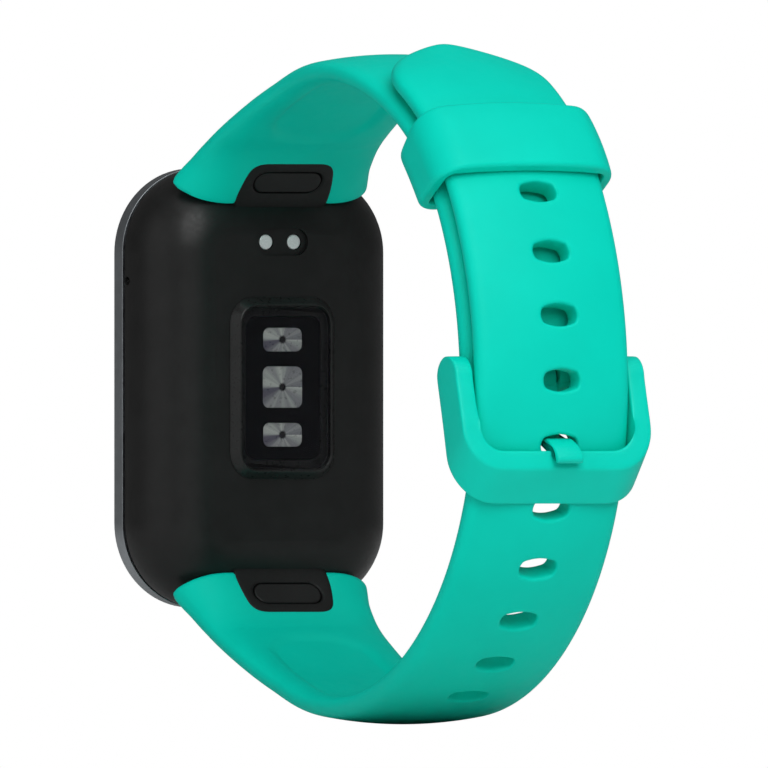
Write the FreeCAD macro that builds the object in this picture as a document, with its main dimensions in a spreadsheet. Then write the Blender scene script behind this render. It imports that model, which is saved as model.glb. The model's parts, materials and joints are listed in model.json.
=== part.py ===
import FreeCAD, Part
import math
import os
import Sketcher
from FreeCAD import Placement, Rotation, Vector

# Fitness tracker band, buckled into a closed loop.
# +Z points to the top of the display, +X across the wrist, +Y from the wrist face towards the buckle.
# The model is drawn with Y = 0 on the display face, then moved so that the origin is the centre of the
# sensor window's outer face, the face that rests on the skin.

DIMENSIONS = {
    "case_width": 28.8, "case_length": 44.7, "case_corner": 8.6, "case_back": 10.0, "case_round": 6.8,
    "skin_level": 11.0, "frame_depth": 2.44, "groove_end": 3.07, "groove_inset": 0.45,
    "through": 20, "frame_round": 0.9,
    "glass_depth": 0.9, "glass_width": 25.6, "glass_length": 41.5, "glass_corner": 7.2,
    "panel_depth": 0.9, "panel_width": 22.4, "panel_length": 34.4, "shell_wall": 1.3,
    "sensor_width": 12.15, "sensor_length": 18.65, "sensor_corner": 2.75, "window_width": 10.5,
    "window_length": 16.95, "window_corner": 1.95, "window_thick": 0.7,
    "led_width": 4.53, "led_length": 4.19, "led_centre": 0.1, "diode_width": 4.45, "diode_length": 2.41,
    "upper_diode": 4.93, "lower_diode": -4.76, "lens_thick": 0.3,
    "contact_spacing": 3.2, "contact_radius": 0.775, "contact_height": 14.87, "recess_width": 6.0,
    "recess_length": 2.77, "recess_depth": 0.4, "vent_radius": 0.45, "vent_height": 10.9,
    "strap_width": 17.5, "strap_thick": 2.3, "root_width": 22.4, "hole_width": 4.1, "hole_length": 2.3,
    "hole_pitch": 6.6, "tab_width": 10.6, "tab_length": 4.7,
    "button_width": 7.6, "button_length": 2.55,
    "button_thick": 1.0, "button_gap": 0.08, "bolt_width": 7.0, "bolt_thick": 0.4,
    "board_front": 3.3, "board_thick": 0.8, "tray_front": 5.1, "tray_thick": 0.55, "cell_front": 5.7,
    "screw_radius": 0.5, "boss_radius": 1.5, "keeper_width": 21.3, "keeper_wall": 1.6,
    "keeper_gap": 0.25, "keeper_span": 16.4, "keeper_angle": 40.5, "buckle_width": 21.8,
    "arm_thick": 2.0, "bar_radius": 0.75, "bar_level": 65.1,
    "bar_height": 1.0, "bar_gap": 0.05, "tongue_width": 3.1, "knuckle_radius": 1.3,
}

doc = FreeCAD.newDocument("fitness_tracker_band")
dims = doc.addObject("Spreadsheet::Sheet", "dims")
for row, (alias, value) in enumerate(DIMENSIONS.items(), start=1):
    dims.set(f"A{row}", alias)
    dims.set(f"B{row}", str(value))
    dims.setAlias(f"B{row}", alias)
doc.recompute()
nodes = []


def value(expression):
    """The value of an expression of driving dimensions, in millimetres."""
    return float(dims.evalExpression(expression))


# ---------------------------------------------------------------- document helpers


def new_body(label):
    """A body whose datum is the skin face of the sensor window."""
    body = doc.addObject("PartDesign::Body", label)
    body.Label = label
    body.setExpression("Placement.Base.y", "-dims.skin_level")
    nodes.append(body)
    return body


def new_sketch(body, role, offset=None):
    """A sketch on one of the body's origin planes; offset holds expressions for x, y and z."""
    plane = next(f for f in body.Origin.OriginFeatures if f.Role == role)
    sketch = body.newObject("Sketcher::SketchObject", f"{body.Label}_sketch")
    sketch.AttachmentSupport = [(plane, "")]
    sketch.MapMode = "FlatFace"
    for axis, expression in (offset or {}).items():
        sketch.setExpression(f"AttachmentOffset.Base.{axis}", expression)
    return sketch


def rounded_rectangle(sketch, width, length, corner):
    """A centred rectangle with round corners, each size an expression."""
    half_w, half_l, radius = value(width) / 2, value(length) / 2, value(corner)
    x, y, up = half_w - radius, half_l - radius, Vector(0, 0, 1)
    quarter = math.pi / 2
    sides = [((-x, -half_l), (x, -half_l)), ((half_w, -y), (half_w, y)),
             ((x, half_l), (-x, half_l)), ((-half_w, y), (-half_w, -y))]
    centres = [(x, -y), (x, y), (-x, y), (-x, -y)]
    for turn, (side, centre) in enumerate(zip(sides, centres)):
        sketch.addGeometry(Part.LineSegment(Vector(*side[0]), Vector(*side[1])))
        circle = Part.Circle(Vector(*centre), up, radius)
        sketch.addGeometry(Part.ArcOfCircle(circle, (turn - 1) * quarter, turn * quarter))
    for index in range(8):
        sketch.addConstraint(Sketcher.Constraint("Tangent", index, 2, (index + 1) % 8, 1))
    for line, kind in ((0, "Horizontal"), (2, "Vertical"), (4, "Horizontal"), (6, "Vertical")):
        sketch.addConstraint(Sketcher.Constraint(kind, line))
    for arc in (3, 5, 7):
        sketch.addConstraint(Sketcher.Constraint("Equal", 1, arc))
    sketch.addConstraint(Sketcher.Constraint("Symmetric", 0, 1, 4, 1, -1, 1))
    for constraint, expression in (
        (Sketcher.Constraint("Radius", 1, radius), corner),
        (Sketcher.Constraint("DistanceX", 6, 1, 2, 1, 2 * half_w), width),
        (Sketcher.Constraint("DistanceY", 0, 1, 4, 1, 2 * half_l), length),
    ):
        sketch.setExpression(f"Constraints[{sketch.addConstraint(constraint)}]", expression)


def outline(sketch, curves):
    """A closed outline from point pairs (lines) and point triples (arcs), held where it is drawn."""
    for points in curves:
        points = [Vector(*point) for point in points]
        curve = Part.LineSegment(*points) if len(points) == 2 else Part.Arc(*points)
        sketch.addConstraint(Sketcher.Constraint("Block", sketch.addGeometry(curve)))


def polygon(sketch, points):
    """A closed outline of straight sides."""
    outline(sketch, list(zip(points, points[1:] + points[:1])))


def circle(sketch, radius, centre=(0, 0)):
    """A circle whose radius is an expression."""
    index = sketch.addGeometry(Part.Circle(Vector(*centre), Vector(0, 0, 1), value(radius)))
    fixed = Sketcher.Constraint("Radius", index, value(radius))
    sketch.setExpression(f"Constraints[{sketch.addConstraint(fixed)}]", radius)
    for kind, distance in (("DistanceX", centre[0]), ("DistanceY", centre[1])):
        sketch.addConstraint(Sketcher.Constraint(kind, -1, 1, index, 3, distance))


def feature(body, kind, sketch, length, reverse=False, symmetric=False):
    """A pad or pocket of one sketch; its length is an expression, and a pocket has to cut something."""
    before = body.Shape.Volume if body.Tip else 0.0
    made = body.newObject(f"PartDesign::{kind}", f"{body.Label}_{kind.lower()}")
    made.Profile = sketch
    made.setExpression("Length", length)
    made.Reversed = reverse
    if symmetric:
        made.SideType = "Symmetric"
    doc.recompute()
    change = body.Shape.Volume - before
    if (kind == "Pocket" and change > -1e-3) or (kind == "Pad" and change < 1e-3):
        raise RuntimeError(f"{made.Label} changes nothing")
    return made


def pad(body, sketch, length, **options):
    return feature(body, "Pad", sketch, length, **options)


def pocket(body, sketch, length, **options):
    return feature(body, "Pocket", sketch, length, **options)


def round_edge(body, radius, chosen):
    """A fillet along the smooth run of edges that holds the first edge whose box is the chosen one."""
    base = body.Tip
    edges = [f"Edge{i}" for i, edge in enumerate(body.Shape.Edges, start=1) if chosen(edge.BoundBox)]
    fillet = body.newObject("PartDesign::Fillet", f"{body.Label}_round")
    fillet.Base = (base, edges[:1])
    fillet.setExpression("Radius", radius)
    doc.recompute()
    return fillet


def plate(label, width, length, corner, front, thick, x="0", z="0"):
    """A plate with round corners that lies across Y, from front to front + thick."""
    body = new_body(label)
    sketch = new_sketch(body, "XZ_Plane", {"x": x, "y": z, "z": f"-({front})"})
    rounded_rectangle(sketch, width, length, corner)
    pad(body, sketch, thick, reverse=True)
    return body


def cut_plate(body, width, length, corner, front, thick, x="0", z="0"):
    """A cut-out with round corners across Y, from front to front + thick."""
    sketch = new_sketch(body, "XZ_Plane", {"x": x, "y": z, "z": f"-({front})"})
    rounded_rectangle(sketch, width, length, corner)
    return pocket(body, sketch, thick)


def rods(body, kind, radius, centres, front, length):
    """Round studs (Pad) or holes (Pocket) across Y at each centre, from front to front + length."""
    sketch = new_sketch(body, "XZ_Plane", {"z": f"-({front})"})
    for centre in centres:
        circle(sketch, radius, centre)
    return feature(body, kind, sketch, length, reverse=kind == "Pad")


def boxes(label, corner_sizes):
    """One node of separate blocks, each (x, y, z, width, depth, height) from its low corner."""
    parts = []
    for x, y, z, width, depth, height in corner_sizes:
        block = doc.addObject("Part::Box", f"{label}_block")
        block.Length, block.Width, block.Height = width, depth, height
        block.Placement.Base = Vector(x, y, z)
        block.setExpression("Placement.Base.y", f"{y} - dims.skin_level")
        parts.append(block)
    if len(parts) == 1:
        parts[0].Label = label
        nodes.append(parts[0])
        return
    group = doc.addObject("Part::Compound", label)
    group.Links, group.Label = parts, label
    nodes.append(group)


# ---------------------------------------------------------------- display, frame and back shell

inner_width, inner_length = "dims.case_width - 2 * dims.shell_wall", "dims.case_length - 2 * dims.shell_wall"
plate("cover_glass", "dims.glass_width", "dims.glass_length", "dims.glass_corner", "0", "dims.glass_depth")
plate("display_panel", "dims.panel_width", "dims.panel_length", "4", "dims.glass_depth + 0.05",
      "dims.panel_depth")

frame = plate("front_frame", "dims.case_width", "dims.case_length", "dims.case_corner", "0.02",
              "dims.frame_depth - 0.02")
cut_plate(frame, "dims.glass_width + 0.1", "dims.glass_length + 0.1", "dims.glass_corner + 0.05", "0",
          "dims.glass_depth + 0.02")
cut_plate(frame, "dims.panel_width + 0.4", "dims.panel_length + 0.4", "4.2", "0", "dims.through")
round_edge(frame, "dims.frame_round", lambda box: box.YMax < 0.03 - value("dims.skin_level")
           and box.XMax > value("dims.glass_width") / 2 + 0.5)

gasket = plate("frame_gasket", "dims.case_width - 2 * dims.groove_inset",
               "dims.case_length - 2 * dims.groove_inset", "dims.case_corner - dims.groove_inset",
               "dims.frame_depth", "dims.groove_end - dims.frame_depth")
cut_plate(gasket, "dims.case_width - 4", "dims.case_length - 4", "dims.case_corner - 2", "0", "dims.through")

case = plate("rear_case", "dims.case_width", "dims.case_length", "dims.case_corner", "dims.groove_end",
             "dims.case_back - dims.groove_end")
round_edge(case, "dims.case_round", lambda box: box.YMin > value("dims.case_back - dims.skin_level") - 0.01)
cut_plate(case, inner_width, inner_length, "dims.case_corner - dims.shell_wall", "0", "6.2")
cut_plate(case, "21", "36", "5", "0", "8.9")
BOSSES = [(x, z) for x in (-8.6, 8.6) for z in (-15.9, 15.9)]
rods(case, "Pad", "dims.boss_radius", BOSSES, "dims.cell_front", "3.3")
rods(case, "Pocket", "dims.screw_radius + 0.05", BOSSES, "0", "8.4")
cut_plate(case, "dims.window_width + 0.4", "dims.window_length + 0.4", "dims.window_corner + 0.2", "0",
          "dims.through")
cut_plate(case, "dims.recess_width", "dims.recess_length", "dims.recess_length * 0.49",
          "dims.case_back - dims.recess_depth", "4", z="dims.contact_height")
CONTACTS = [(hand * value("dims.contact_spacing") / 2, value("dims.contact_height")) for hand in (-1, 1)]
rods(case, "Pocket", "dims.contact_radius + 0.05", CONTACTS, "0", "dims.through")
vent = new_sketch(case, "YZ_Plane", {"x": "dims.groove_end + 0.43", "y": "dims.vent_height", "z": "14.5"})
circle(vent, "dims.vent_radius")
pocket(case, vent, "1.7")

# ---------------------------------------------------------------- sensor, contacts and what lies inside

RING_CHAMFER = -38
ring = plate("sensor_ring", "dims.sensor_width", "dims.sensor_length", "dims.sensor_corner",
             "dims.case_back", "dims.skin_level - dims.case_back")
ring.Tip.TaperAngle = RING_CHAMFER
cut_plate(ring, "dims.window_width - 0.3", "dims.window_length - 0.3", "dims.window_corner - 0.15",
          "dims.skin_level - dims.window_thick", "3")
cut_plate(ring, "8.6", "14.6", "1.2", "0", "dims.through")
plate("sensor_glass", "dims.window_width - 0.4", "dims.window_length - 0.4", "dims.window_corner - 0.2",
      "dims.skin_level - dims.window_thick", "dims.window_thick")

LENSES = {
    "led_window": ("dims.led_width", "dims.led_length", "dims.led_centre"),
    "upper_photodiode_window": ("dims.diode_width", "dims.diode_length", "dims.upper_diode"),
    "lower_photodiode_window": ("dims.diode_width", "dims.diode_length", "dims.lower_diode"),
}
mask = plate("sensor_mask", "8.5", "14.5", "1.1", "9.4", "0.8")
for name, (width, length, height) in LENSES.items():
    cut_plate(mask, f"{width} + 0.1", f"{length} + 0.1", "0.75", "0", "dims.through", z=height)
    plate(name, width, length, "0.7", "9.8", "dims.lens_thick", z=height)
plate("led_board", "9.6", "15.6", "0.8", "8.35", "0.5")
boxes("led_chips", [(x - 0.5, 8.86, -0.5, 1.0, 0.5, 1.2) for x in (-1.4, 0.0, 1.4)])
DIODE_LEVELS = [value("dims.lower_diode"), value("dims.upper_diode")]
boxes("photodiode_chips", [(-1.5, 8.86, z - 0.9, 3.0, 0.5, 1.8) for z in DIODE_LEVELS])

contact_stud = new_body("charging_contacts")
rods(contact_stud, "Pad", "dims.contact_radius", CONTACTS, "7.7", "1.88")
mesh_disc = new_body("vent_mesh")
disc = new_sketch(mesh_disc, "YZ_Plane",
                  {"x": "dims.groove_end + 0.43", "y": "dims.vent_height", "z": "13.3"})
circle(disc, "dims.vent_radius - 0.08")
pad(mesh_disc, disc, "0.2")

plate("main_board", "21", "29", "1.5", "dims.board_front", "dims.board_thick")
boxes("main_chips", [(-8, 4.11, 4, 7, 0.9, 7), (1.5, 4.11, 5, 5, 0.8, 5), (-3, 4.11, -8, 9, 0.9, 6),
                     (-8, 4.11, -4, 3, 0.6, 3)])
tray = plate("inner_tray", "20.4", "34.6", "4", "dims.tray_front", "dims.tray_thick")
rods(tray, "Pocket", "dims.screw_radius + 0.25", BOSSES, "0", "dims.through")
boxes("battery", [(-8.5, 5.7, -10.5, 17, 2.55, 21)])
motor = new_body("vibration_motor")
rods(motor, "Pad", "3.4", [(0, -14.2)], "dims.cell_front", "2.5")
screws = new_body("case_screws")
rods(screws, "Pad", "dims.screw_radius", BOSSES, "4.5", "3.7")
rods(screws, "Pad", "1.05", BOSSES, "4.3", "0.75")
antenna = plate("antenna", "25.4", "41.3", "6.8", "3.4", "1.8")
cut_plate(antenna, "25", "40.9", "6.6", "0", "dims.through")
cut_plate(antenna, "27", "30", "0.5", "0", "dims.through", z="-9")
boxes("display_connector", [(-3, 1.87, -14.1, 6, 1.41, 0.16)])

# ---------------------------------------------------------------- quick-release latches on both straps

TAB_LEAN = math.radians(38)
TAB_START = Vector(9.57, 18.84)
ENDS = {"upper": 1, "lower": -1}


def tab_point(along, out, side):
    """(Y, Z) of a point along the sloping tab from the case and out of its surface."""
    y = TAB_START.x + along * math.sin(TAB_LEAN) + out * math.cos(TAB_LEAN)
    z = TAB_START.y + along * math.cos(TAB_LEAN) - out * math.sin(TAB_LEAN)
    return y, side * z


def tab_sketch(body, along, out, side):
    """A sketch parallel to the sloping tab, whose pockets cut outwards."""
    sketch = new_sketch(body, "XZ_Plane")
    y, z = tab_point(along, out, side)
    turn = Rotation(Vector(1, 0, 0), -side * math.degrees(TAB_LEAN))
    sketch.AttachmentOffset = Placement(Vector(0, z, -y), turn)
    return sketch


def tab_block(body, kind, width, length, corner, along, out, depth, side):
    """A block or cut-out parallel to the tab: centred along it, from out to out + depth."""
    sketch = tab_sketch(body, along, out, side)
    rounded_rectangle(sketch, width, length, corner)
    return feature(body, kind, sketch, depth, reverse=kind == "Pad")


def side_outline(body, kind, points, width, side):
    """A pad or pocket across X of an outline given along and out of the tab."""
    sketch = new_sketch(body, "YZ_Plane")
    polygon(sketch, [tab_point(along, out, side) for along, out in points])
    return feature(body, kind, sketch, width, symmetric=True)


for name, side in ENDS.items():
    side_outline(case, "Pocket", [(-0.8, -1.93), (0.7, -1.93), (0.7, -1.37), (-0.8, -1.37)],
                 "dims.bolt_width + 0.2", side)

    connector = new_body(f"{name}_connector")
    tab_block(connector, "Pad", "dims.tab_width", "dims.tab_length", "1.3", 2.8, -1.5, "1.55", side)
    tab_block(connector, "Pad", "8.4", "3.4", "0.3", 2.15, -2.35, "0.9", side)
    tab_block(connector, "Pocket", "dims.button_width + 2 * dims.button_gap",
              "dims.button_length + 2 * dims.button_gap", "dims.button_length * 0.49", 2.65, -1.4, "3", side)
    tab_block(connector, "Pocket", "dims.bolt_width + 0.15", "4.95", "0.1", 1.475, -1.9, "0.52", side)
    tab_block(connector, "Pocket", "3", "1.1", "0.1", 1.95, -2.1, "0.5", side)

    button = new_body(f"{name}_release_button")
    tab_block(button, "Pad", "dims.button_width", "dims.button_length", "dims.button_length * 0.49", 2.65,
              -0.85, "dims.button_thick - 0.05", side)
    side_outline(button, "Pad", [(1.6, -0.8), (2.9, -0.8), (2.2, -1.5), (1.6, -1.5)], "2.6", side)

    bolt = new_body(f"{name}_latch_bolt")
    tab_block(bolt, "Pad", "dims.bolt_width", "3.7", "0.3", 1.35, -1.85, "dims.bolt_thick", side)
    side_outline(bolt, "Pocket", [(1.0, -1.2), (2.58, -1.2), (1.68, -2.1), (1.0, -2.1)], "3", side)

    spring = new_body(f"{name}_latch_spring")
    leaf = tab_sketch(spring, 3.25, -1.8, side)
    low, rise, bow = 0.02, 0.12, 0.5
    outline(leaf, [[(-2.6, side * low), (0, side * (low + bow)), (2.6, side * low)],
                   [(2.6, side * low), (2.6, side * (low + rise))],
                   [(2.6, side * (low + rise)), (0, side * (low + rise + bow)), (-2.6, side * (low + rise))],
                   [(-2.6, side * (low + rise)), (-2.6, side * low)]])
    pad(spring, leaf, "0.3", reverse=True)

# ---------------------------------------------------------------- straps

ROOT_START = Vector(7.75, 22.63)
ROOT_HEADING = 39.23
# Radius and turn in degrees of each stretch of the outer face, counted from the case round the wrist.
TAIL_TURNS = [(33.9, 11.13), (78.4, 10.7), (31.5, 23.45), (33.3, 83.95), (40.0, 31.9), (28.64, 37.04)]
SHORT_TURNS = [(33.9, 11.13), (78.4, 10.7), (26.0, 23.4), (36.4, 24.0), (25.74, 28.1), (37.11, 31.28)]
TIP_RUN = 6.4
CASE_ARC = Vector(3.2, 15.55)


def inward(heading):
    return Vector(math.sin(heading), -math.cos(heading))


def walk(turns, inset=0.0):
    """Start, middle and end of each arc of a strap face, and the heading at the end."""
    heading = math.radians(ROOT_HEADING)
    point = ROOT_START + inward(heading) * inset
    arcs = []
    for radius, turn in turns:
        centre = point + inward(heading) * (radius - inset)
        stops = [heading - math.radians(turn) * share for share in (0, 0.5, 1)]
        arcs.append([centre - inward(stop) * (radius - inset) for stop in stops])
        heading, point = stops[-1], arcs[-1][-1]
    return arcs, heading


def station(turns, distance):
    """The point and heading at a distance along the outer face."""
    heading, point = math.radians(ROOT_HEADING), ROOT_START
    for radius, turn in turns:
        centre = point + inward(heading) * radius
        run = min(distance, radius * math.radians(turn))
        heading -= run / radius
        point = centre - inward(heading) * radius
        distance -= run
    return point, heading


def case_arc_point(y):
    reach = value("dims.case_round") + 0.06
    return Vector(y, CASE_ARC.y + math.sqrt(reach ** 2 - (y - CASE_ARC.x) ** 2))


def strap_outline(turns, run, side):
    """The side outline of a strap: outer face, rounded end, inner face and the seat on the case."""
    thick = value("dims.strap_thick")
    outer, heading = walk(turns)
    inner, _ = walk(turns, thick)
    ahead = Vector(math.cos(heading), math.sin(heading))
    outer_end, inner_end = outer[-1][-1] + ahead * run, inner[-1][-1] + ahead * run
    tab_end = Vector(*tab_point(5.2, 0, 1))
    top, low = case_arc_point(6.55), case_arc_point(9.4)
    curves = [[top, ROOT_START], *outer]
    if run:
        curves.append([outer[-1][-1], outer_end])
    curves.append([outer_end, (outer_end + inner_end) / 2 + ahead * thick / 2, inner_end])
    if run:
        curves.append([inner_end, inner[-1][-1]])
    curves += [arc[::-1] for arc in reversed(inner[1:])]
    curves += [[inner[0][-1], tab_end], [tab_end, low], [low, case_arc_point(8.1), top]]
    return [[(point.x, side * point.y) for point in curve] for curve in curves]


def make_strap(label, turns, run, side):
    """A strap that tapers from its root to its band width, with a seat for its connector."""
    strap = new_body(label)
    profile = new_sketch(strap, "YZ_Plane")
    outline(profile, strap_outline(turns, run, side))
    pad(strap, profile, "dims.root_width", symmetric=True)
    half = value("dims.strap_width") / 2
    beyond, past_end = 16, 80
    flare = [(half + 2.45, 6.3), (half + 1.5, 8.95), (half + 1.07, 11.6), (half + 0.6, 16.5), (half, 24)]
    for hand in (1, -1):
        cut = new_sketch(strap, "XY_Plane")
        points = [(hand * x, y) for x, y in flare]
        far = [(hand * half, past_end), (hand * beyond, past_end), (hand * beyond, 5),
               (hand * (half + 2.6), 5)]
        outline(cut, [points[0:3], points[2:5], [points[4], far[0]], [far[0], far[1]], [far[1], far[2]],
                      [far[2], far[3]], [far[3], points[0]]])
        pocket(strap, cut, "100", symmetric=True)
    tab_block(strap, "Pocket", "dims.tab_width + 0.1", "dims.tab_length + 0.65", "1.35", 2.5, -1.53, "3",
              side)
    tab_block(strap, "Pocket", "8.5", "4.0", "0.3", 1.9, -2.4, "3", side)
    return strap


def cross_circle(body, kind, radius, y, z, width):
    """A round stud or hole along X."""
    sketch = new_sketch(body, "YZ_Plane", {"x": y, "y": z})
    circle(sketch, radius)
    return feature(body, kind, sketch, width, symmetric=True)


short_strap = make_strap("buckle_strap", SHORT_TURNS, 0, 1)
cross_circle(short_strap, "Pad", "1.4", "dims.bar_level", "dims.bar_height", "dims.strap_width")
notch = new_sketch(short_strap, "YZ_Plane")
polygon(notch, [(60, -2), (70, -2), (70, 2.7), (60, 2.7)])
pocket(short_strap, notch, "dims.tongue_width + 0.6", symmetric=True)
cross_circle(short_strap, "Pocket", "dims.bar_radius + 0.03", "dims.bar_level", "dims.bar_height", "30")

tail = make_strap("tail_strap", TAIL_TURNS, TIP_RUN, -1)
to_equator = sum(radius * math.radians(turn) for radius, turn in TAIL_TURNS[:4])
TONGUE_HOLE_RISE = 5.75
HOLES_EACH_SIDE = 5
tongue_hole = to_equator - TONGUE_HOLE_RISE
for step in range(-HOLES_EACH_SIDE, HOLES_EACH_SIDE + 1):
    point, heading = station(TAIL_TURNS, tongue_hole + step * value("dims.hole_pitch"))
    slot = new_sketch(tail, "XY_Plane")
    slope = Rotation(Vector(1, 0, 0), -math.degrees(heading))
    slot.AttachmentOffset = Placement(Vector(0, point.x, -point.y), slope)
    rounded_rectangle(slot, "dims.hole_width", "dims.hole_length", "dims.hole_length * 0.49")
    pocket(tail, slot, "8", symmetric=True)
half_band = value("dims.strap_width") / 2
tip = new_sketch(tail, "XY_Plane", {"z": "40"})
wide, tip_start, tip_end, tip_past = half_band + 3.25, 51, 42.6, 38
outline(tip, [[(-wide, tip_start), (-half_band, tip_start)],
              [(-half_band, tip_start), (0, tip_end), (half_band, tip_start)],
              [(half_band, tip_start), (wide, tip_start)], [(wide, tip_start), (wide, tip_past)],
              [(wide, tip_past), (-wide, tip_past)], [(-wide, tip_past), (-wide, tip_start)]])
pocket(tail, tip, "16")

# ---------------------------------------------------------------- keeper, spring bar, buckle and tongue

arcs, end_heading = walk(TAIL_TURNS)
keeper_centre = arcs[-1][0] + inward(end_heading + math.radians(TAIL_TURNS[-1][1])) * TAIL_TURNS[-1][0]
keeper_centre.y = -keeper_centre.y
LAYER_OFFSET = 2.9
layers = LAYER_OFFSET + value("dims.strap_thick")
cavity = f"{layers} + 2 * dims.keeper_gap"
middle = TAIL_TURNS[-1][0] - layers / 2
keeper = new_body("keeper_loop")
for kind, width, height, corner in (
    ("Revolution", "dims.keeper_width", f"{cavity} + 2 * dims.keeper_wall", "3.2"),
    ("Groove", "dims.strap_width + 0.5", cavity, "0.6"),
):
    section = new_sketch(keeper, "XY_Plane", {"y": str(middle)})
    rounded_rectangle(section, width, height, corner)
    turned = keeper.newObject(f"PartDesign::{kind}", f"keeper_{kind.lower()}")
    turned.Profile = section
    axis = next(f for f in keeper.Origin.OriginFeatures if f.Role == "X_Axis")
    turned.ReferenceAxis = (axis, [""])
    turned.setExpression("Angle", "dims.keeper_span" if kind == "Revolution" else "dims.keeper_span + 4")
    turned.Midplane = True
    doc.recompute()
keeper.setExpression("Placement.Base.y", f"{keeper_centre.x} - dims.skin_level")
keeper.Placement.Base.z = keeper_centre.y
keeper.Placement.Rotation = Rotation(Vector(1, 0, 0), value("dims.keeper_angle"))

bar = new_body("spring_bar")
cross_circle(bar, "Pad", "dims.bar_radius", "dims.bar_level", "dims.bar_height", "dims.buckle_width - 1.2")

buckle = new_body("buckle_frame")
side_view = new_sketch(buckle, "YZ_Plane")
outline(side_view, [
    [(63.85, 1.0), (66.1, 3.25), (68.35, 1.2)], [(68.35, 1.2), (69.6, -3.4), (70.4, -7.1)],
    [(70.4, -7.1), (70.55, -7.9), (70.2, -8.6)], [(70.2, -8.6), (67.75, -11.55)],
    [(67.75, -11.55), (67.25, -11.8), (66.85, -11.3)], [(66.85, -11.3), (65.2, -3.9), (63.85, 1.0)],
])
pad(buckle, side_view, "dims.buckle_width", symmetric=True)
cut_plate(buckle, "dims.buckle_width - 2 * dims.arm_thick", "14.5", "1.8", "55", "20", z="0.75")
wrist_arc = arcs[3]
seat_radius = TAIL_TURNS[3][0] + 0.12
seat_centre = wrist_arc[2] + Vector(-TAIL_TURNS[3][0], 0)
seat_stops = [Vector(seat_centre.x + math.sqrt(seat_radius ** 2 - z ** 2), -z) for z in (5, 9, 13)]
seat = new_sketch(buckle, "YZ_Plane")
outline(seat, [seat_stops, [seat_stops[2], (60, -13)], [(60, -13), (60, -5)], [(60, -5), seat_stops[0]]])
pocket(buckle, seat, "dims.buckle_width - 2 * dims.arm_thick", symmetric=True)
half_buckle, corner_radius, corner_level = value("dims.buckle_width") / 2, 3.9, -8.0
corner_x, diagonal = half_buckle - corner_radius, corner_radius / math.sqrt(2)
for hand in (1, -1):
    corner = new_sketch(buckle, "XZ_Plane", {"z": "-50"})
    below = corner_level - corner_radius
    outline(corner, [
        [(hand * half_buckle, corner_level), (hand * (corner_x + diagonal), corner_level - diagonal),
         (hand * corner_x, below)],
        [(hand * corner_x, below), (hand * corner_x, below - 2)],
        [(hand * corner_x, below - 2), (hand * (half_buckle + 2), below - 2)],
        [(hand * (half_buckle + 2), below - 2), (hand * (half_buckle + 2), corner_level)],
        [(hand * (half_buckle + 2), corner_level), (hand * half_buckle, corner_level)],
    ])
    pocket(buckle, corner, "30")
cross_circle(buckle, "Pocket", "dims.bar_radius + dims.bar_gap", "dims.bar_level", "dims.bar_height",
             "dims.buckle_width - 1.1")

tongue = new_body("buckle_tongue")
cross_circle(tongue, "Pad", "dims.knuckle_radius", "dims.bar_level", "dims.bar_height", "dims.tongue_width")
blade = new_sketch(tongue, "YZ_Plane")
polygon(blade, [(66.2, 0.6), (66.1, -4.0), (66.4, -4.65), (67.1, -5.0), (70.2, -5.25), (71.95, -6.7),
                (71.95, -7.3), (71.4, -7.6), (70.75, -7.2), (70.35, -6.35), (66.75, -6.05), (65.05, -3.6),
                (64.9, 0.2)])
pad(tongue, blade, "dims.tongue_width", symmetric=True)
cross_circle(tongue, "Pocket", "dims.bar_radius + dims.bar_gap", "dims.bar_level", "dims.bar_height", "30")

# ---------------------------------------------------------------- checks and files

doc.recompute()
failed = [thing.Label for thing in doc.Objects if {"Invalid", "Error"} & set(thing.State)]
failed += [node.Label for node in nodes if node.Shape.isNull() or not node.Shape.isValid()]
if failed:
    raise RuntimeError(f"these objects failed: {failed}")

os.makedirs("parts", exist_ok=True)
for node in nodes:
    node.Shape.exportStep(f"parts/{node.Label}.step")
    print(f"{node.Label:26s} {len(node.Shape.Solids)} solid(s) {node.Shape.Volume:9.2f} mm3")
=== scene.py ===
import json
import math

import bmesh
import bpy
import numpy as np
from mathutils import Matrix, Vector


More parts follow.
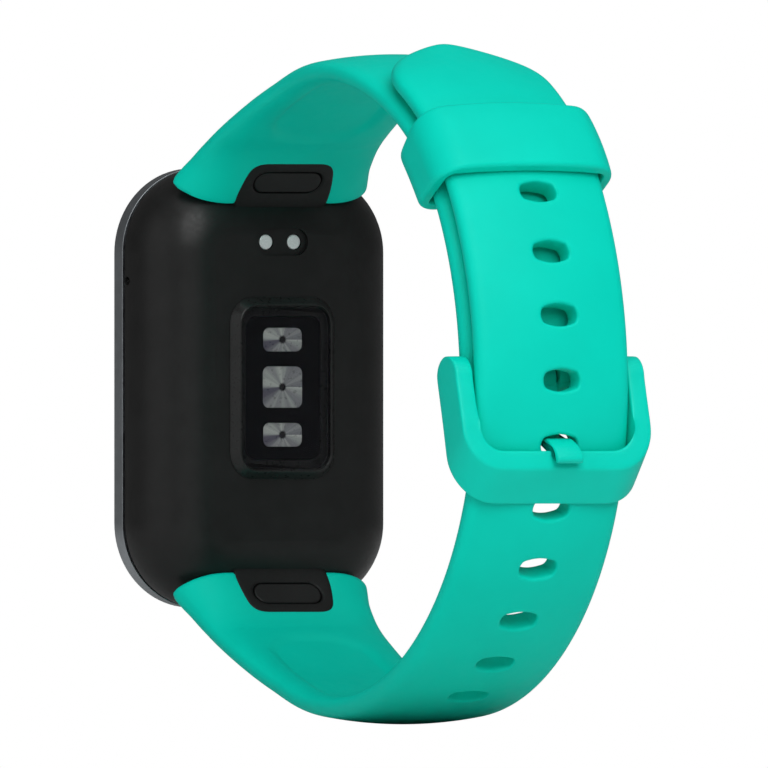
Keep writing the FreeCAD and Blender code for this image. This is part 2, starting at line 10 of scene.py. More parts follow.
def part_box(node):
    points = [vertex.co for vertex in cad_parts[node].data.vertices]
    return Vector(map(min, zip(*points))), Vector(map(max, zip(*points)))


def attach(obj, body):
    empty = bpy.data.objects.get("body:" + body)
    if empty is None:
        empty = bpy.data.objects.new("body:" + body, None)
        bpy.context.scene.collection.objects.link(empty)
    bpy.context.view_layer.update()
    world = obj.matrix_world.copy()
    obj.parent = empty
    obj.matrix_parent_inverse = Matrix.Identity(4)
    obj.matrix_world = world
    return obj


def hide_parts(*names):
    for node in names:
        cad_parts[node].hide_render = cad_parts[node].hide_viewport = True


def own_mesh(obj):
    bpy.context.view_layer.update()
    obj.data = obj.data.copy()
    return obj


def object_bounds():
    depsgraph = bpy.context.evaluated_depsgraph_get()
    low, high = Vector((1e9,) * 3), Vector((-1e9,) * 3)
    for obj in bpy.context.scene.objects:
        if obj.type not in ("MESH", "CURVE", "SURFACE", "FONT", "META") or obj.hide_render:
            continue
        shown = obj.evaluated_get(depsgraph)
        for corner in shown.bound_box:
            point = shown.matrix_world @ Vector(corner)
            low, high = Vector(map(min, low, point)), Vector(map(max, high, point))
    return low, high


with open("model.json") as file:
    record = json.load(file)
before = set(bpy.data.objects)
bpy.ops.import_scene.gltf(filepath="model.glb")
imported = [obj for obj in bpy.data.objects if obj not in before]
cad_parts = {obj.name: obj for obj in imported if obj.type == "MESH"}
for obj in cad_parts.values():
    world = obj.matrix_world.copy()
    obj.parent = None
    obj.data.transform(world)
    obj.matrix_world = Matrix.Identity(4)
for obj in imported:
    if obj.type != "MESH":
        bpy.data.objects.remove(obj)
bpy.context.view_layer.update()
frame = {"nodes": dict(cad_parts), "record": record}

# A fitness tracker band in a closed loop. Shapes are worked out in millimetres with Y = 0 on the display
# face, as the design is drawn, and placed in the frame's metres by to_frame.
MM = 0.001
SKIN_LEVEL = -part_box("cover_glass")[0].y / MM


def to_frame(points):
    """Design millimetres to the frame's metres."""
    return (np.asarray(points, float) - (0, SKIN_LEVEL, 0)) * MM


# ---------------------------------------------------------------- materials


def new_material(name, color, rough, **sockets):
    """A principled material; sockets set the shader's own uniform values."""
    material = bpy.data.materials.new(name)
    material.use_nodes = True
    shader = material.node_tree.nodes["Principled BSDF"]
    shader.inputs["Base Color"].default_value = (*color, 1)
    shader.inputs["Roughness"].default_value = rough
    for socket, amount in sockets.items():
        shader.inputs[socket.replace("_", " ")].default_value = amount
    return material


def add_noise(material, scale, detail=4.0, stretch=(1, 1, 1)):
    """Noise over object space, in features per millimetre; returns its output."""
    nodes, links = material.node_tree.nodes, material.node_tree.links
    coordinates = nodes.new("ShaderNodeTexCoord")
    mapping = nodes.new("ShaderNodeMapping")
    mapping.inputs["Scale"].default_value = [s * scale / MM for s in stretch]
    noise = nodes.new("ShaderNodeTexNoise")
    noise.inputs["Scale"].default_value = 1.0
    noise.inputs["Detail"].default_value = detail
    links.new(coordinates.outputs["Object"], mapping.inputs["Vector"])
    links.new(mapping.outputs["Vector"], noise.inputs["Vector"])
    return noise.outputs["Fac"]


def add_bump(material, height, depth, strength=1.0):
    """Relief of a depth in millimetres."""
    nodes, links = material.node_tree.nodes, material.node_tree.links
    bump = nodes.new("ShaderNodeBump")
    bump.inputs["Strength"].default_value = strength
    bump.inputs["Distance"].default_value = depth * MM
    links.new(height, bump.inputs["Height"])
    shader = nodes["Principled BSDF"]
    if shader.inputs["Normal"].links:
        links.new(shader.inputs["Normal"].links[0].from_socket, bump.inputs["Normal"])
    links.new(bump.outputs["Normal"], shader.inputs["Normal"])


def vary(material, socket, factor, low, high, start=0.3, end=0.7):
    """Ramps one socket of the shader between two values over a factor."""
    nodes, links = material.node_tree.nodes, material.node_tree.links
    ramp = nodes.new("ShaderNodeValToRGB")
    ramp.color_ramp.elements[0].position, ramp.color_ramp.elements[1].position = start, end
    for element, shade in zip(ramp.color_ramp.elements, (low, high)):
        element.color = (*shade, 1) if hasattr(shade, "__len__") else (shade, shade, shade, 1)
    links.new(factor, ramp.inputs["Fac"])
    links.new(ramp.outputs["Color"], nodes["Principled BSDF"].inputs[socket])


def silicone():
    """Mint silicone: a dense, slightly velvety matt rubber with a very fine grain."""
    material = new_material("silicone", (0.0, 0.66, 0.51), 0.55, Specular_IOR_Level=0.09,
                            Subsurface_Weight=0.1, Subsurface_Scale=0.001)
    material.node_tree.nodes["Principled BSDF"].inputs["Subsurface Radius"].default_value = (0.1, 1.0, 0.8)
    vary(material, "Base Color", add_noise(material, 0.12), (0.0, 0.64, 0.495), (0.0, 0.68, 0.525))
    vary(material, "Roughness", add_noise(material, 0.9), 0.46, 0.56)
    add_bump(material, add_noise(material, 14, 3), 0.006, 0.5)
    return material


def moulded_plastic():
    """The buckle's moulded plastic, in the strap's colour but smoother and glossier."""
    material = new_material("moulded_plastic", (0.0, 0.66, 0.51), 0.42, Specular_IOR_Level=0.14,
                            Subsurface_Weight=0.05, Subsurface_Scale=0.001)
    vary(material, "Base Color", add_noise(material, 0.2), (0.0, 0.64, 0.495), (0.0, 0.67, 0.52))
    vary(material, "Roughness", add_noise(material, 1.5), 0.38, 0.47)
    add_bump(material, add_noise(material, 10, 2), 0.003, 0.5)
    return material


def black_plastic(name, tone, rough, grain):
    """Black moulded plastic with a fine spark-eroded grain."""
    material = new_material(name, (tone, tone, tone * 1.03), rough, Specular_IOR_Level=0.25)
    vary(material, "Base Color", add_noise(material, 0.4), (tone * 0.85,) * 3, (tone * 1.15,) * 3)
    vary(material, "Roughness", add_noise(material, 2.5), rough - 0.05, rough + 0.06)
    add_bump(material, add_noise(material, 16, 2), grain, 0.6)
    return material


def satin_metal(name, color, rough, along=(1, 1, 1), relief=0.002, metallic=1.0):
    """Metal with fine marks stretched along one direction."""
    material = new_material(name, color, rough, Metallic=metallic)
    marks = add_noise(material, 6, 3, along)
    vary(material, "Base Color", marks, [c * 0.88 for c in color], [min(1, c * 1.12) for c in color])
    vary(material, "Roughness", add_noise(material, 1.2), rough - 0.06, rough + 0.07)
    add_bump(material, marks, relief, 0.5)
    return material


SILICONE = silicone()
PLASTIC = moulded_plastic()
SHELL = black_plastic("shell_plastic", 0.011, 0.36, 0.001)
TAB = black_plastic("tab_plastic", 0.006, 0.5, 0.002)
BUTTON = black_plastic("button_plastic", 0.007, 0.4, 0.001)
SEAL = black_plastic("seal_rubber", 0.005, 0.7, 0.004)
FRAME_METAL = satin_metal("frame_metal", (0.33, 0.355, 0.375), 0.38, (1, 6, 1))
PLATING = satin_metal("contact_plating", (0.82, 0.83, 0.84), 0.35, (1, 1, 5), 0.001, metallic=0.3)
STEEL = satin_metal("latch_steel", (0.6, 0.6, 0.61), 0.3, (5, 1, 1))
COPPER = satin_metal("antenna_copper", (0.72, 0.4, 0.24), 0.34, (1, 4, 1))
POUCH = satin_metal("battery_pouch", (0.5, 0.5, 0.52), 0.42, (1, 1, 1), 0.01)
RING = black_plastic("ring_plastic", 0.018, 0.3, 0.001)
MASK = black_plastic("mask_plastic", 0.002, 0.5, 0.0005)
MESH = satin_metal("vent_mesh_metal", (0.02, 0.02, 0.021), 0.6, (5, 1, 1))
CHIP = black_plastic("chip_package", 0.02, 0.6, 0.004)
FILM = black_plastic("ribbon_film", 0.03, 0.35, 0.002)


def dark_glass(name, tint, cover):
    """Tinted glass that hides a share of what lies behind it, with faint handling smears."""
    material = new_material(name, tint, 0.06, Specular_IOR_Level=0.35, Alpha=cover)
    vary(material, "Roughness", add_noise(material, 0.35), 0.04, 0.13)
    add_bump(material, add_noise(material, 0.8, 2), 0.0006, 0.4)
    return material


def circuit_board():
    """Green solder mask over faint tracks."""
    material = new_material("circuit_board", (0.01, 0.1, 0.04), 0.38, Specular_IOR_Level=0.5)
    tracks = add_noise(material, 0.7, 1, (1, 1, 5))
    vary(material, "Base Color", tracks, (0.008, 0.075, 0.03), (0.02, 0.15, 0.06), 0.48, 0.52)
    vary(material, "Roughness", add_noise(material, 2), 0.32, 0.45)
    add_bump(material, tracks, 0.02, 0.4)
    return material


LENS_DOT = (0.3, 0.5)


def lens_with_painted_reflection(node):
    """A small optical window: metallic film whose spun reflection is painted in as grey violet to off-white
    spokes by angle, round a dark centre.
    """
    material = new_material(f"{node}_film", (0.3, 0.29, 0.32), 0.3, Metallic=0.25)
    nodes, links = material.node_tree.nodes, material.node_tree.links
    low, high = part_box(node)
    coordinates = nodes.new("ShaderNodeTexCoord")
    local = nodes.new("ShaderNodeVectorMath")
    local.operation = "SUBTRACT"
    local.inputs[1].default_value = (low + high) / 2
    links.new(coordinates.outputs["Object"], local.inputs[0])
    parts = nodes.new("ShaderNodeSeparateXYZ")
    links.new(local.outputs["Vector"], parts.inputs["Vector"])
    angle = nodes.new("ShaderNodeMath")
    angle.operation = "ARCTAN2"
    links.new(parts.outputs["Z"], angle.inputs[0])
    links.new(parts.outputs["X"], angle.inputs[1])
    # painted reflection: tone by the angle round the window's centre, standing in for light caught by the
    # spun film
    painted_reflection_spokes = nodes.new("ShaderNodeTexNoise")
    painted_reflection_spokes.noise_dimensions = "1D"
    painted_reflection_spokes.inputs["Scale"].default_value = 1.1
    painted_reflection_spokes.inputs["Detail"].default_value = 2.5
    links.new(angle.outputs["Value"], painted_reflection_spokes.inputs["W"])
    flat = nodes.new("ShaderNodeCombineXYZ")
    links.new(parts.outputs["X"], flat.inputs["X"])
    links.new(parts.outputs["Z"], flat.inputs["Z"])
    reach = nodes.new("ShaderNodeVectorMath")
    reach.operation = "LENGTH"
    links.new(flat.outputs["Vector"], reach.inputs[0])
    dot = nodes.new("ShaderNodeMapRange")
    for end, radius in zip(("From Min", "From Max"), LENS_DOT):
        dot.inputs[end].default_value = radius * MM
    links.new(reach.outputs["Value"], dot.inputs["Value"])
    tone = nodes.new("ShaderNodeValToRGB")
    tone.color_ramp.elements[0].position, tone.color_ramp.elements[1].position = 0.35, 0.65
    tone.color_ramp.elements[0].color = (0.2, 0.18, 0.24, 1)
    tone.color_ramp.elements[1].color = (0.85, 0.85, 0.82, 1)
    links.new(painted_reflection_spokes.outputs["Fac"], tone.inputs["Fac"])
    centre = nodes.new("ShaderNodeMixRGB")
    centre.inputs["Color1"].default_value = (0.02, 0.018, 0.02, 1)
    links.new(dot.outputs["Result"], centre.inputs["Fac"])
    links.new(tone.outputs["Color"], centre.inputs["Color2"])
    links.new(centre.outputs["Color"], nodes["Principled BSDF"].inputs["Base Color"])
    vary(material, "Roughness", add_noise(material, 2.5), 0.24, 0.42)
    return material


COVER = dark_glass("cover_glass", (0.012, 0.012, 0.015), 0.8)
SENSOR_GLASS = dark_glass("sensor_glass", (0.003, 0.002, 0.008), 0.16)
DISPLAY = dark_glass("display_stack", (0.006, 0.006, 0.008), 1.0)
BOARD = circuit_board()

# ---------------------------------------------------------------- mesh helpers


def add_mesh(name, points, faces, material, levels=0, smooth=True):
    """A mesh piece from design points, with normals outwards and optional subdivision."""
    mesh = bpy.data.meshes.new(name)
    mesh.from_pydata([tuple(p) for p in to_frame(points)], [], faces)
    work = bmesh.new()
    work.from_mesh(mesh)
    bmesh.ops.remove_doubles(work, verts=work.verts, dist=1e-7)
    bmesh.ops.recalc_face_normals(work, faces=work.faces)
    work.to_mesh(mesh)
    work.free()
    piece = bpy.data.objects.new(name, mesh)
    bpy.context.scene.collection.objects.link(piece)
    mesh.materials.append(material)
    mesh.polygons.foreach_set("use_smooth", [smooth] * len(mesh.polygons))
    if levels:
        smoothing = piece.modifiers.new("rounding", "SUBSURF")
        smoothing.levels = smoothing.render_levels = levels
    return piece


def place(piece, body, slot, *nodes):
    """Attaches a piece to the body it rides on and hides the design nodes it stands for; the slot is not
    used.
    """
    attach(piece, body)
    if nodes:
        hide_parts(*nodes)
    return piece


def grid_faces(rows, columns, start=0, wrap=False):
    """Quads over a grid of points stored row by row."""
    faces = []
    for i in range(rows - 1):
        for j in range(columns if wrap else columns - 1):
            k = (j + 1) % columns
            low, high = start + i * columns, start + (i + 1) * columns
            faces.append((low + j, low + k, high + k, high + j))
    return faces


# ---------------------------------------------------------------- straps

ROOT_START, ROOT_HEADING = np.array((7.75, 22.63)), math.radians(39.23)
# Radius and turn in degrees of each stretch of the outer face, counted from the case round the wrist.
TAIL_TURNS = [(33.9, 11.13), (78.4, 10.7), (31.5, 23.45), (33.3, 83.95), (40.0, 31.9), (28.64, 37.04)]
SHORT_TURNS = [(33.9, 11.13), (78.4, 10.7), (26.0, 23.4), (36.4, 24.0), (25.74, 28.1), (37.11, 31.28)]
TIP_RUN, TIP_LENGTH, THICK, HALF_BAND = 5.2, 8.6, 2.3, 8.75
CASE_ARC, CASE_REACH = np.array((3.2, 15.55)), 6.84
SEAT_TOP_Y, SEAT_LOW_Y, ROOT_BEND = 6.55, 9.4, 0.2
ARC_STEP, ARC_POINTS, ROOT_POINTS = 0.3, 4, 40
TAB_LEAN, TAB_START, TAB_LENGTH = math.radians(38), np.array((9.57, 18.84)), 5.2
FLARE_Y = [6.3, 8.95, 11.6, 16.5, 24.0, 40.0]
FLARE_EXTRA = [2.45, 1.5, 1.07, 0.6, 0.0, 0.0]
FLARE_RUN, FLARE_FROM_X, FLARE_BLEND = 35, 5.05, 3.7
# Rounding of the long edges, which undercuts more at the root.
EDGE_REACH, EDGE_DROP, EDGE_THICK = 1.1, 0.75, 1.05
UNDERCUT, ROOT_UNDERCUT, ROOT_RUN = 2.5, 2.6, 12
# Bow of the band across its width, held back at the case and in the buckle.
CROWN, CROWN_RUN, BUCKLE_FLATTENS, FLAT_RUN = 0.88, 10, 0.25, 16
INNER_BOW, INNER_BOW_FROM, INNER_BOW_RUN = 0.9, 8, 10
# Shallow recess along the inner face, arched at its start.
RECESS_HALF, RECESS_DEPTH, RECESS_RAMP, RECESS_SIDE = 6.1, 0.32, 1.6, 0.9
RECESS_ARCH, RECESS_CORNER, RECESS_FROM = 6.2, 1.4, 9.0
# Pocket for the tab at the root, which narrows away from the case.
POCKET_HALF, POCKET_NARROWS, POCKET_END, POCKET_SIDE, POCKET_RAMP = 5.1, 0.8, 4.8, 0.3, 0.4
POCKET_NARROWS_FROM, POCKET_NARROWS_RUN = 1.8, 1.5
# Slotted holes; each sits in a cell of the strap's grid.
HOLE_HALF_X, HOLE_HALF_S, HOLE_PITCH, HOLE_SHIFT = 2.05, 1.15, 6.6, -0.5
HOLE_FILLET, HOLE_COLLAR, HOLE_BLEND, HOLE_SPREAD = 0.34, 0.75, 1.35, 2.0
HOLES_EACH_SIDE, TONGUE_HOLE_RISE = 5, 5.75
CELL_X, CELL_S, CELL_ROWS, CELL_COLUMNS = 3.1, 2.1, 6, 8
SIDE_X = [3.7, 4.35, 4.85, 5.05, 5.35, 5.9, 6.5, 7.1, 7.6, 7.95, 8.25, 8.5, 8.65, 8.75]
STATION_STEP, TIP_STATIONS = 0.75, 20
OUTER, INNER, WALL = range(3)


def inward(heading):
    """The way into the loop, in (Y, |Z|), from a face that runs along a heading."""
    return np.array((math.sin(heading), -math.cos(heading)))


def case_arc_point(y):
    """The point of the strap's curved seat on the case at a Y."""
    return np.array((y, CASE_ARC[1] + math.sqrt(CASE_REACH ** 2 - (y - CASE_ARC[0]) ** 2)))


def resample(line, count):
    """A polyline's points spread evenly along it."""
    line = np.array(line)
    steps = np.r_[0, np.cumsum(np.linalg.norm(np.diff(line, axis=0), axis=1))]
    want = np.linspace(0, steps[-1], count)
    return np.stack([np.interp(want, steps, line[:, axis]) for axis in (0, 1)], axis=1)


class StrapPath:
    """Outer and inner faces of a strap by distance from the case, in (Y, |Z|); side mirrors Z."""

    def __init__(self, turns, run, side):
        self.side = side
        heading, point = ROOT_HEADING, ROOT_START
        outer, inner, lengths = [], [], []
        for radius, turn in turns:
            centre = point + inward(heading) * radius
            length = radius * math.radians(turn)
            count = max(ARC_POINTS, int(length / ARC_STEP))
            stops = heading - np.linspace(0, math.radians(turn), count)
            ways = np.array([inward(stop) for stop in stops])
            outer.append(centre - ways * radius)
            inner.append(centre - ways * (radius - THICK))
            heading, point = stops[-1], outer[-1][-1]
            lengths.append(length)
        ahead = np.array((math.cos(heading), math.sin(heading)))
        if run:
            outer.append(np.array([point + ahead * run]))
            inner.append(np.array([inner[-1][-1] + ahead * run]))
        tab_end = TAB_START + TAB_LENGTH * np.array((math.sin(TAB_LEAN), math.cos(TAB_LEAN)))
        top, low = case_arc_point(SEAT_TOP_Y), case_arc_point(SEAT_LOW_Y)
        root_outer = resample([top, *outer[0]], ROOT_POINTS)
        bend = [low + (tab_end - low) * (1 - ROOT_BEND), tab_end + (inner[0][-1] - tab_end) * ROOT_BEND]
        root_inner = resample([low, *bend, inner[0][-1]], ROOT_POINTS)
        skip = 0 if run else 1
        self.outer, self.inner = [
            np.vstack([root, *[part[1:] for part in parts[1:-1]], parts[-1][skip:]])
            for root, parts in ((root_outer, outer), (root_inner, inner))
        ]
        self.at = np.r_[0, np.cumsum(np.linalg.norm(np.diff(self.outer, axis=0), axis=1))]
        self.length = self.at[-1]
        self.lead = np.linalg.norm(ROOT_START - top)
        self.arc_lengths = lengths

    def faces_at(self, distance):
        """The points of the outer and the inner face at a distance."""
        return [np.array([np.interp(distance, self.at, line[:, axis]) for axis in (0, 1)])
                for line in (self.outer, self.inner)]


def flare(y):
    """Half width of a strap by its outer face's Y: wide at the case, then the band's width."""
    return HALF_BAND + float(np.interp(y, FLARE_Y, FLARE_EXTRA))


def ease(share):
    """A smooth ramp from 0 to 1, held outside that range."""
    share = min(max(share, 0.0), 1.0)
    return share * share * (3 - 2 * share)


def round_drop(edge, reach, depth):
    """How far a rounded edge drops at a distance in from the outline."""
    share = min(max(1 - edge / reach, 0.0), 1.0)
    return depth * (1 - math.sqrt(max(0.0, 1 - share ** 2)))


class StrapShape:
    """Heights of both faces of a strap over its flat outline."""

    def __init__(self, path, buckle_at, recess_to, tip=None):
        self.path, self.buckle_at, self.tip = path, buckle_at, tip
        self.recess_to = recess_to

    def half_width(self, s):
        """Half width of the outline: flared by the case, rounded off at the tip."""
        width = flare(self.path.faces_at(s)[0][0]) if s < FLARE_RUN else HALF_BAND
        if self.tip and s > self.tip:
            share = min((s - self.tip) / (self.path.length - self.tip), 1.0)
            width *= math.sqrt(max(1 - share ** 2, 0.0))
        return width

    def edge(self, s, x):
        """Distance in from the outline."""
        if self.tip and s > self.tip:
            reach = self.path.length - self.tip
            return (1 - math.hypot(x / HALF_BAND, (s - self.tip) / reach)) * min(HALF_BAND, reach)
        edge = self.half_width(s) - abs(x)
        if not self.tip:
            edge = min(edge, self.path.length - s)
        return edge

    def crown(self, s):
        """How far the band bows outwards across its width: less at the case and in the buckle."""
        held = 1 - ease(abs(s - self.buckle_at) / FLAT_RUN)
        return CROWN * ease(s / CROWN_RUN) * (1 - BUCKLE_FLATTENS * held)

    def heights(self, s, x):
        """Depths below the outer path, in millimetres: outer face, inner face."""
        outer, inner = self.path.faces_at(s)
        thick = float(np.linalg.norm(outer - inner))
        edge = self.edge(s, x)
        width = max(self.half_width(s), 0.5)
        root = max(0.0, 1 - s / ROOT_RUN)
        bow = self.crown(s) * (1 - min(1, abs(x) / width) ** 2)
        top = round_drop(edge, EDGE_REACH, EDGE_DROP) - bow
        away = ease((s - INNER_BOW_FROM) / INNER_BOW_RUN)
        undercut = round_drop(edge, UNDERCUT + ROOT_UNDERCUT * root, thick - EDGE_THICK)
        bottom = thick - bow * INNER_BOW * away - undercut
        past_start, to_end = s - RECESS_FROM, self.recess_to - s
        along = min(max(past_start / RECESS_RAMP, 0), 1) * min(max(to_end / RECESS_RAMP, 0), 1)
        across = min(max((RECESS_HALF - abs(x)) / RECESS_SIDE, 0), 1)
        arch = RECESS_ARCH - math.sqrt(max(0.0, RECESS_ARCH ** 2 - x ** 2))
        corner = min(max((past_start - arch) / RECESS_CORNER, 0), 1)
        bottom -= RECESS_DEPTH * ease(along * across * corner)
        pocket = POCKET_HALF - POCKET_NARROWS * ease((s - POCKET_NARROWS_FROM) / POCKET_NARROWS_RUN)
        if s < POCKET_END and abs(x) < pocket:
            bottom -= ease((pocket - abs(x)) / POCKET_SIDE) * ease((POCKET_END - s) / POCKET_RAMP)
        return top, bottom

    def point(self, s, x, depth):
        """The design point at a depth below the outer path."""
        outer, inner = self.path.faces_at(s)
        way = (inner - outer) / np.linalg.norm(inner - outer)
        y, z = outer + way * depth
        return x, y, self.path.side * z


def strap_stations(shape, holes):
    """Distances along a strap, with lines on both sides of every hole's cell."""
    length = shape.path.length
    fixed = {0.0, shape.tip or length}
    for hole in holes:
        fixed |= {hole - CELL_S, hole + CELL_S}
    fixed = sorted(fixed)
    stations = []
    for low, high in zip(fixed, fixed[1:]):
        in_cell = any(abs((low + high) / 2 - hole) < 0.1 for hole in holes)
        count = CELL_ROWS if in_cell else max(2, round((high - low) / STATION_STEP))
        stations += list(np.linspace(low, high, count, endpoint=False))
    stations.append(fixed[-1])
    if shape.tip:
        reach = length - shape.tip
        turns = np.linspace(0, math.pi / 2, TIP_STATIONS)[1:-1]
        stations += [shape.tip + reach * math.sin(turn) for turn in turns]
        stations.append(length - 0.004)
    else:
        stations[-1:] = [length - 0.7, length - 0.35, length - 0.1, length]
    return stations


def column_x(column, s, width):
    """X of a grid column: near the case the flare moves only the outer ones, further on all of them scale."""
    if s > FLARE_RUN:
        return column * width
    x = column * HALF_BAND
    return x + math.copysign(width - HALF_BAND, x) * ease((abs(x) - FLARE_FROM_X) / FLARE_BLEND)


def cell_loop(row, column):
    """Grid places, as (row, column), in order round the cell that starts at a row and column."""
    last_row, last_column = row + CELL_ROWS, column + CELL_COLUMNS
    loop = [(row, column + j) for j in range(CELL_COLUMNS)]
    loop += [(row + i, last_column) for i in range(CELL_ROWS)]
    loop += [(last_row, last_column - j) for j in range(CELL_COLUMNS)]
    return loop + [(last_row - i, column) for i in range(CELL_ROWS)]


def hole_rings():
    """Rings from the outer face through a hole to the inner one: the face, how far out and how deep."""
    turns = (0, 0.5, 1.0, math.pi / 2)
    fillet = [(HOLE_FILLET * (1 - math.sin(a)), HOLE_FILLET * (1 - math.cos(a))) for a in turns]
    rings = [(OUTER, HOLE_BLEND, 0), (OUTER, HOLE_COLLAR, 0)] + [(OUTER, *step) for step in fillet]
    rings += [(WALL, 0, 0)] + [(INNER, *step) for step in fillet[::-1]]
    return rings + [(INNER, HOLE_COLLAR, 0), (INNER, HOLE_BLEND, 0)]


def hole_point(shape, hole, ring, dx, ds):
    """The point of a ring that faces the place dx, ds from the hole's centre on its cell's rim."""
    face, out, drop = ring
    core = dx * (HOLE_HALF_X - HOLE_HALF_S) / CELL_X
    away = np.array((dx - core, ds))
    limit = float(np.linalg.norm(away))
    away /= limit
    spread = HOLE_HALF_S + out
    if out > HOLE_FILLET:
        spread = min(spread, HOLE_HALF_S + (limit - HOLE_HALF_S) * out / HOLE_SPREAD)
    s = hole + away[1] * spread
    x = core + away[0] * spread + HOLE_SHIFT * (1 - out / HOLE_BLEND)
    top, bottom = shape.heights(s, x)
    return shape.point(s, x, (top + drop, bottom - drop, (top + bottom) / 2)[face])


def build_strap(name, shape, holes):
    """A strap as one closed mesh with round-edged slots."""
    centre = np.linspace(-CELL_X, CELL_X, CELL_COLUMNS + 1)
    columns = np.array([-x for x in SIDE_X[::-1]] + list(centre) + SIDE_X) / HALF_BAND
    first_column = len(SIDE_X)
    stations = strap_stations(shape, holes)
    rows, count = len(stations), len(columns)
    points, faces = [], []
    for face in (OUTER, INNER):
        for s in stations:
            width = shape.half_width(s)
            for column in columns:
                x = column_x(column, s, width)
                points.append(shape.point(s, x, shape.heights(s, x)[face]))
    offset = rows * count
    cells = {hole: min(range(rows), key=lambda i: abs(stations[i] - (hole - CELL_S))) for hole in holes}
    taken = {(start + i, first_column + j)
             for start in cells.values() for i in range(CELL_ROWS) for j in range(CELL_COLUMNS)}
    for i in range(rows - 1):
        for j in range(count - 1):
            if (i, j) not in taken:
                a = i * count + j
                quad = (a, a + 1, a + count + 1, a + count)
                faces += [quad, tuple(offset + k for k in quad[::-1])]
    edges = [(i * count + j, (i + 1) * count + j) for i in range(rows - 1) for j in (0, count - 1)]
    edges += [(i * count + j, i * count + j + 1) for i in (0, rows - 1) for j in range(count - 1)]
    faces += [(a, b, offset + b, offset + a) for a, b in edges]
    for hole, start in cells.items():
        loop = cell_loop(start, first_column)
        rims = [[i * count + j for i, j in loop]]
        for ring in hole_rings():
            rims.append(list(range(len(points), len(points) + len(loop))))
            points += [hole_point(shape, hole, ring, columns[j] * HALF_BAND, stations[i] - hole)
                       for i, j in loop]
        rims.append([offset + k for k in rims[0]])
        for low, high in zip(rims, rims[1:]):
            for k in range(len(loop)):
                n = (k + 1) % len(loop)
                faces.append((low[k], low[n], high[n], high[k]))
    return add_mesh(name, points, faces, SILICONE, levels=1)


tail_path = StrapPath(TAIL_TURNS, TIP_RUN, -1)
short_path = StrapPath(SHORT_TURNS, 0, 1)
tongue_hole = tail_path.lead + sum(tail_path.arc_lengths[:4]) - TONGUE_HOLE_RISE
holes = [tongue_hole + step * HOLE_PITCH for step in range(-HOLES_EACH_SIDE, HOLES_EACH_SIDE + 1)]
tail_shape = StrapShape(tail_path, tongue_hole, tip=tail_path.length - TIP_LENGTH, recess_to=36)
place(build_strap("tail_strap_skin", tail_shape, holes), "band", "strap_silicone", "tail_strap")
short = build_strap("buckle_strap_skin", StrapShape(short_path, short_path.length, recess_to=44), [])

BAR_Y, BAR_Z = 65.1, 1.0
BARREL_RADIUS, BARREL_FILLET, BARREL_HALF, BORE_RADIUS = 1.4, 0.3, 8.7, 0.8
NOTCH_HALF = 1.95
NOTCH_LOW, NOTCH_HIGH = (-NOTCH_HALF, 60, -2), (NOTCH_HALF, 70, 2.7)


def cut_notch(piece, low, high):
    """Cuts a box-shaped notch out of a piece for good."""
    corners = [(x, y, z) for x in (low[0], high[0]) for y in (low[1], high[1]) for z in (low[2], high[2])]
    sides = [(0, 1, 3, 2), (4, 6, 7, 5), (0, 4, 5, 1), (2, 3, 7, 6), (0, 2, 6, 4), (1, 5, 7, 3)]
    cutter = add_mesh("notch_cutter", corners, sides, SILICONE, smooth=False)
    cut = piece.modifiers.new("notch", "BOOLEAN")
    cut.object, cut.operation, cut.solver = cutter, "DIFFERENCE", "EXACT"
    bpy.context.view_layer.update()
    solved = bpy.data.meshes.new_from_object(piece.evaluated_get(bpy.context.evaluated_depsgraph_get()))
    piece.modifiers.clear()
    piece.data = solved
    solved.set_sharp_from_angle(angle=math.radians(50))
    bpy.data.objects.remove(cutter)


def bar_sleeve(name, near, far, radius, fillet, material):
    """A round-edged sleeve about the buckle's bar, from near to far along X."""
    turns = (0.5, 1.0, math.pi / 2)
    profile = [(near, BORE_RADIUS), (near, radius - fillet)]
    profile += [(near + fillet * (1 - math.cos(a)), radius - fillet * (1 - math.sin(a))) for a in turns]
    profile += list(zip(np.linspace(near + fillet * 2, far - fillet * 2, 4), [radius] * 4))
    profile += [(far - fillet * (1 - math.cos(a)), radius - fillet * (1 - math.sin(a))) for a in turns[::-1]]
    profile += [(far, radius - fillet), (far, BORE_RADIUS), (near, BORE_RADIUS)]
    around = np.linspace(0, 2 * math.pi, 40, endpoint=False)
    points = [(x, BAR_Y + r * math.cos(a), BAR_Z + r * math.sin(a)) for x, r in profile for a in around]
    return add_mesh(name, points, grid_faces(len(profile), len(around), wrap=True), material)


cut_notch(short, NOTCH_LOW, NOTCH_HIGH)
place(short, "band", "strap_silicone", "buckle_strap")
for name, near, far in (
    ("strap_lug_left", -BARREL_HALF, -NOTCH_HALF),
    ("strap_lug_right", NOTCH_HALF, BARREL_HALF),
):
    lug = bar_sleeve(name, near, far, BARREL_RADIUS, BARREL_FILLET, SILICONE)
    place(lug, "band", "strap_silicone")

# ---------------------------------------------------------------- keeper loop

KEEPER_CENTRE = np.array((38.72, 6.01))
KEEPER_TURN, KEEPER_HALF_SPAN = math.radians(40.5), math.radians(7.9)
KEEPER_MIDDLE, KEEPER_INNER, KEEPER_WALL = 26.04, 2.85, 1.5
KEEPER_HALF_X, KEEPER_CORNER = 10.4, 3.1
SLOT_HALF_X, SLOT_CORNER = 9.0, 0.7


def rounded_loop(half_x, half_y, radius):
    """Points round a rounded rectangle, with the same number on every side and corner."""
    points = []
    for quarter, (sx, sy) in enumerate(((1, 1), (-1, 1), (-1, -1), (1, -1))):
        centre = np.array((sx * (half_x - radius), sy * (half_y - radius)))
        for angle in np.linspace(0, math.pi / 2, 9) + quarter * math.pi / 2:
            points.append(centre + radius * np.array((math.cos(angle), math.sin(angle))))
        after = points[-1]
        side = 2 * (half_x if quarter % 2 == 0 else half_y) - 2 * radius
        way = np.array(((-1, 0), (0, -1), (1, 0), (0, 1))[quarter])
        points += [after + way * side * share for share in np.linspace(0, 1, 10)[1:-1]]
    return np.array(points)


